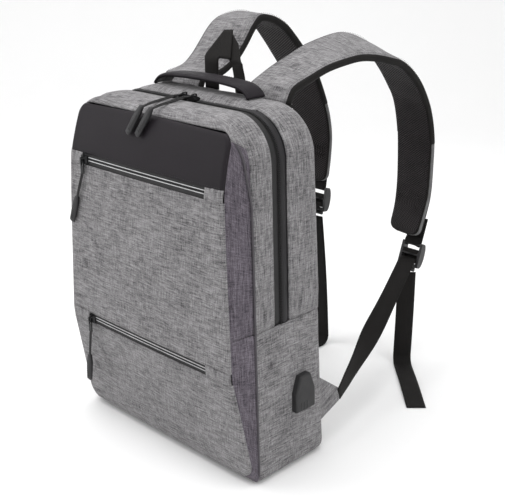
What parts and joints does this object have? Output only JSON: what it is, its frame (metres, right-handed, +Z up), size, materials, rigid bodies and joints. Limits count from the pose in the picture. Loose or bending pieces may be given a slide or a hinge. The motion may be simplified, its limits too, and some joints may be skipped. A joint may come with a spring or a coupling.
{
  "type": "backpack",
  "caption": "Grey laptop backpack with front zip pockets, padded shoulder straps, carry handle and a charging port on one side.",
  "frame": {"origin": "middle of the flat base, on the surface the bag stands on", "axes": "+Z up, -Y out of the front pockets, +Y to the back with the shoulder straps, +X to the side with the charging port"},
  "size_m": [0.3408, 0.4502, 0.4897],
  "materials": {
    "shell_fabric": "heather grey woven polyester",
    "gusset_fabric": "dark grey woven polyester",
    "yoke_fabric": "smooth coated charcoal fabric",
    "lining": "plain dark lining",
    "piping": "black cord piping",
    "zip_tape": "black zip tape",
    "strap_fabric": "heather grey woven polyester over foam",
    "back_mesh": "black air mesh over foam",
    "webbing": "matte black webbing",
    "buckle": "dark grey moulded plastic",
    "slider_metal": "black painted zinc",
    "pull_cord": "black braided cord",
    "grip": "dark grey moulded rubber",
    "port_rubber": "charcoal moulded rubber",
    "port_metal": "plated steel",
    "port_tongue": "white plastic"
  },
  "bodies": {
    "pack": {"lower_shell": "shell_fabric", "rear_shell": "shell_fabric", "zip_tape_rear": "zip_tape", "base_board": "lining", "laptop_sleeve": "lining", "back_pad_left": "back_mesh", "back_pad_right": "back_mesh", "pocket_panel_low": "shell_fabric", "pocket_panel_mid": "shell_fabric", "pocket_zip_tape_low": "zip_tape", "gusset_low_left": "gusset_fabric", "gusset_low_right": "gusset_fabric", "pocket_roof_low": "lining", "piping_low_left": "piping", "piping_low_right": "piping", "zip_ends_low": "shell_fabric", "side_tab_left": "shell_fabric", "side_tab_right": "shell_fabric", "lower_web_left": "webbing", "lower_web_right": "webbing", "usb_hood": "port_rubber", "usb_socket": "port_metal", "usb_tongue": "port_tongue"},
    "flap": {"flap_shell": "shell_fabric", "zip_tape_front": "zip_tape", "pocket_panel_high": "shell_fabric", "yoke_panel": "yoke_fabric", "pocket_zip_tape_high": "zip_tape", "gusset_high_left": "gusset_fabric", "gusset_high_right": "gusset_fabric", "pocket_floor_high": "lining", "piping_high": "piping", "zip_ends_high": "shell_fabric"},
    "slider_high": {"slider_high": "slider_metal"},
    "slider_low": {"slider_low": "slider_metal"},
    "slider_main_left": {"slider_main_left": "slider_metal"},
    "slider_main_right": {"slider_main_right": "slider_metal"},
    "pull_high": {"pull_tab_high": "slider_metal", "pull_cord_high": "pull_cord", "pull_grip_high": "grip"},
    "pull_low": {"pull_tab_low": "slider_metal", "pull_cord_low": "pull_cord", "pull_grip_low": "grip"},
    "pull_main_left": {"pull_tab_main_left": "slider_metal", "pull_cord_main_left": "pull_cord", "pull_grip_main_left": "grip"},
    "pull_main_right": {"pull_tab_main_right": "slider_metal", "pull_cord_main_right": "pull_cord", "pull_grip_main_right": "grip"},
    "strap_left": {"strap_pad_left": "strap_fabric", "strap_end_loop_left": "webbing"},
    "strap_right": {"strap_pad_right": "strap_fabric", "strap_end_loop_right": "webbing"},
    "lock_left": {"ladder_lock_left": "buckle"},
    "lock_right": {"ladder_lock_right": "buckle"},
    "tail_left": {"tail_left": "webbing"},
    "tail_right": {"tail_right": "webbing"},
    "carry_handle": {"carry_handle": "yoke_fabric"},
    "hang_loop": {"hang_loop": "webbing"}
  },
  "joints": [
    {"name": "flap_fold", "type": "hinge", "parent": "pack", "child": "flap", "pos_m": [0, -0.0945, 0.184], "axis": [1, 0, 0], "range_deg": [0, 50]},
    {"name": "slider_high_run", "type": "slide", "parent": "flap", "child": "slider_high", "axis": [1, 0, 0], "range_m": [0, 0.196]},
    {"name": "slider_low_run", "type": "slide", "parent": "pack", "child": "slider_low", "axis": [1, 0, 0], "range_m": [0, 0.196]},
    {"name": "slider_main_left_run", "type": "slide", "parent": "flap", "child": "slider_main_left", "axis": [-1, 0, 0], "range_m": [0, 0.068]},
    {"name": "slider_main_right_run", "type": "slide", "parent": "flap", "child": "slider_main_right", "axis": [1, 0, 0], "range_m": [0, 0.068]},
    {"name": "pull_high_swing", "type": "hinge", "parent": "slider_high", "child": "pull_high", "pos_m": [-0.098, -0.09578, 0.34], "axis": [-1, 0, 0], "range_deg": [0, 90]},
    {"name": "pull_low_swing", "type": "hinge", "parent": "slider_low", "child": "pull_low", "pos_m": [-0.098, -0.09835, 0.141], "axis": [-1, 0, 0], "range_deg": [0, 90]},
    {"name": "pull_main_left_swing", "type": "hinge", "parent": "slider_main_left", "child": "pull_main_left", "pos_m": [-0.008, -0.016, 0.4169], "axis": [-1, 0, 0], "range_deg": [0, 80]},
    {"name": "pull_main_right_swing", "type": "hinge", "parent": "slider_main_right", "child": "pull_main_right", "pos_m": [0.008, -0.016, 0.4169], "axis": [-1, 0, 0], "range_deg": [0, 80]},
    {"name": "strap_left_swing", "type": "hinge", "parent": "pack", "child": "strap_left", "pos_m": [-0.0725, 0.0443, 0.42081], "axis": [1, 0, 0], "range_deg": [-12, 12], "deforming": ["lower_web_left"]},
    {"name": "strap_right_swing", "type": "hinge", "parent": "pack", "child": "strap_right", "pos_m": [0.0675, 0.04647, 0.42167], "axis": [1, 0, 0], "range_deg": [-12, 12], "deforming": ["lower_web_right"]},
    {"name": "lock_left_tilt", "type": "hinge", "parent": "strap_left", "child": "lock_left", "pos_m": [-0.06042, 0.28279, 0.23996], "axis": [-1, 0, 0], "range_deg": [0, 12]},
    {"name": "lock_right_tilt", "type": "hinge", "parent": "strap_right", "child": "lock_right", "pos_m": [0.08021, 0.32161, 0.18011], "axis": [-1, 0, 0], "range_deg": [0, 12]},
    {"name": "tail_left_swing", "type": "hinge", "parent": "lock_left", "child": "tail_left", "pos_m": [-0.06042, 0.27694, 0.19736], "axis": [-1, 0, 0], "range_deg": [0, 20]},
    {"name": "tail_right_swing", "type": "hinge", "parent": "lock_right", "child": "tail_right", "pos_m": [0.08021, 0.30802, 0.13931], "axis": [-1, 0, 0], "range_deg": [0, 20]},
    {"name": "carry_handle_lift", "type": "slide", "parent": "pack", "child": "carry_handle", "axis": [0, 0, 1], "range_m": [0, 0.008]},
    {"name": "hang_loop_lean", "type": "hinge", "parent": "pack", "child": "hang_loop", "pos_m": [-0.001, 0.0415, 0.4132], "axis": [1, 0, 0], "range_deg": [-25, 18]}
  ]
}
